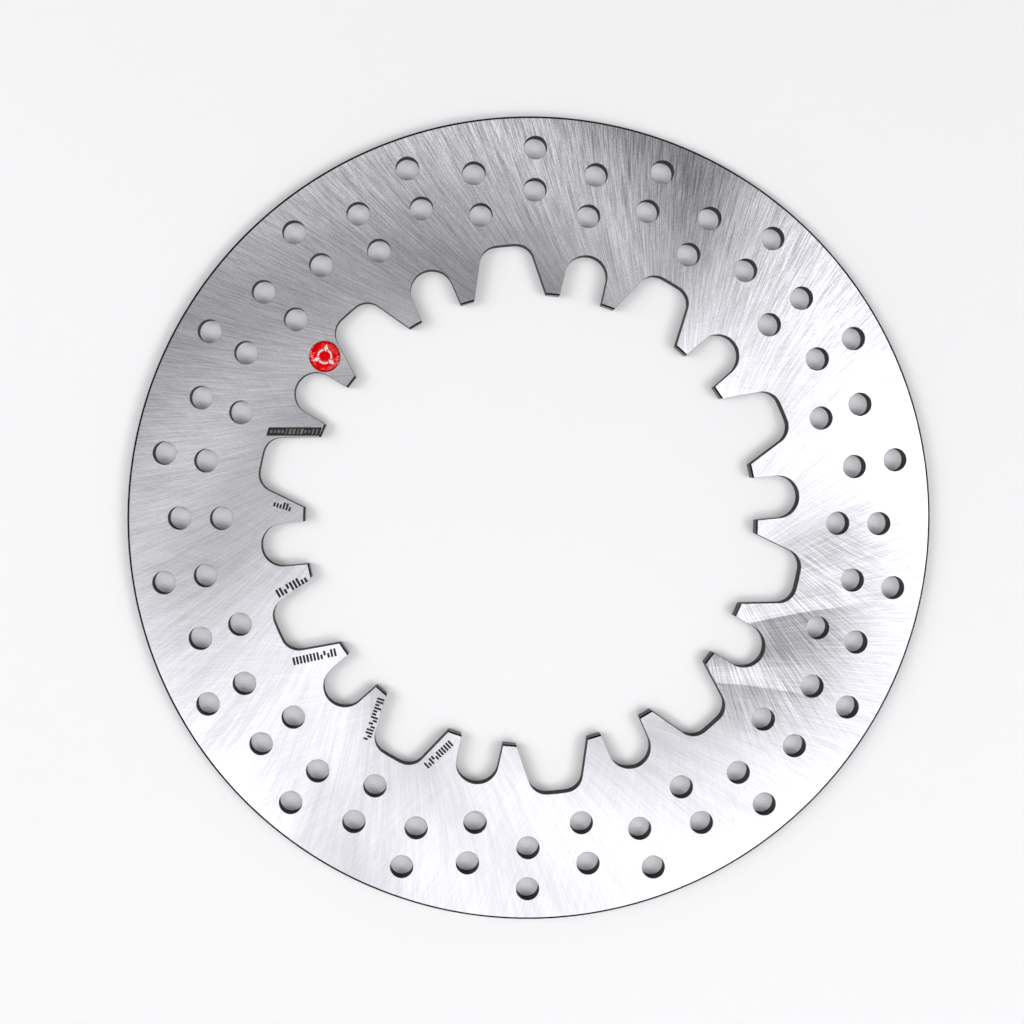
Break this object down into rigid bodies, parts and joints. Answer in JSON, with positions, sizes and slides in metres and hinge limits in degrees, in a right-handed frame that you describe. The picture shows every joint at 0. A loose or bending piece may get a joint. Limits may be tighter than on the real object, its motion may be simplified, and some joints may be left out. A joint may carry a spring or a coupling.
{
  "type": "motorcycle floating brake disc friction ring",
  "caption": "Flat drilled friction ring of a floating brake disc, toothed inside with half-round bobbin seats and flared relief slots, with a small round domed badge.",
  "frame": {"origin": "on the ring's axis, in the plane of its lower face", "axes": "+Z along the ring's axis, out of the face that carries the badge; the drilling and slots are symmetric about the radial line at 149.49 degrees from +X"},
  "size_m": [0.305, 0.305, 0.0065],
  "materials": {
    "ground_steel": "both faces ground with crossing swirl lines, turned chamfers, laser-cut walls",
    "red_vinyl": "printed red film with a pale abstract mark",
    "clear_resin": "clear glossy domed resin over the red film"
  },
  "bodies": {
    "root": {"friction_ring": "ground_steel", "badge_film": "red_vinyl", "badge_dome": "clear_resin"}
  },
  "joints": []
}
